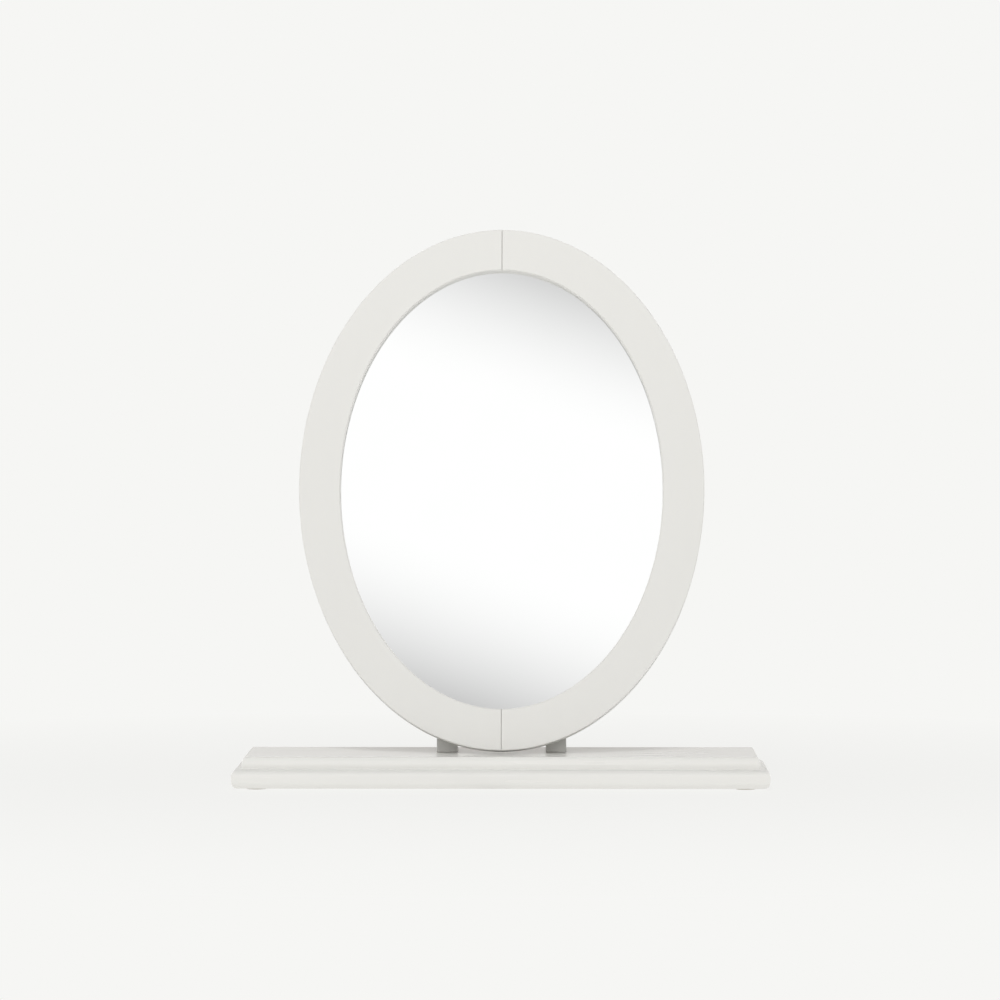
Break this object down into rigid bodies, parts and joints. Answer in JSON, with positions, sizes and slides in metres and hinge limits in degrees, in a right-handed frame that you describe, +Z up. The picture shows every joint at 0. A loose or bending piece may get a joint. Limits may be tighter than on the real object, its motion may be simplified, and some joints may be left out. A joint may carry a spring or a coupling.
{
  "type": "vanity mirror",
  "caption": "Table-top vanity mirror: oval lacquered frame in two halves, hinged low on short posts over a moulded base board, tilting on friction hinges.",
  "frame": {"origin": "on the table top, under the middle of the base board", "axes": "+X to the right as one looks into the mirror, +Y to the back, +Z up"},
  "size_m": [0.532, 0.16, 0.5558],
  "materials": {
    "satin_lacquer": "satin off-white lacquer over shaped board",
    "gloss_lacquer": "gloss off-white lacquer over moulded board",
    "mirror_glass": "clear float glass, silvered on the back",
    "felt": "pressed wool felt",
    "hardboard": "smooth brown hardboard",
    "beech": "plain beech dowel",
    "zinc_steel": "bright zinc plate",
    "nickel_steel": "nickel plate",
    "spring_steel": "dark spring steel",
    "acetal": "black acetal",
    "rubber": "soft black rubber"
  },
  "bodies": {
    "base": {"base_board": "gloss_lacquer", "base_pads": "felt", "left_post": "satin_lacquer", "right_post": "satin_lacquer", "post_dowels": "beech", "post_screws": "zinc_steel", "left_hinge_post_leaf": "nickel_steel", "right_hinge_post_leaf": "nickel_steel", "post_leaf_screws": "zinc_steel", "stop_buttons": "rubber"},
    "mirror": {"frame_left": "satin_lacquer", "frame_right": "satin_lacquer", "seam_dowels": "beech", "mirror_glass": "mirror_glass", "glass_felt": "felt", "back_panel": "hardboard", "panel_screws": "zinc_steel", "left_hinge_frame_leaf": "nickel_steel", "right_hinge_frame_leaf": "nickel_steel", "frame_leaf_screws": "zinc_steel", "left_hinge_pin": "zinc_steel", "right_hinge_pin": "zinc_steel", "left_friction_washers": "acetal", "right_friction_washers": "acetal", "left_disc_springs": "spring_steel", "right_disc_springs": "spring_steel", "left_hinge_nut": "zinc_steel", "right_hinge_nut": "zinc_steel"}
  },
  "joints": [
    {"name": "mirror_tilt", "type": "hinge", "parent": "base", "child": "mirror", "pos_m": [0, -0.0004, 0.06347], "axis": [-1, 0, 0], "range_deg": [-5, 14]}
  ]
}
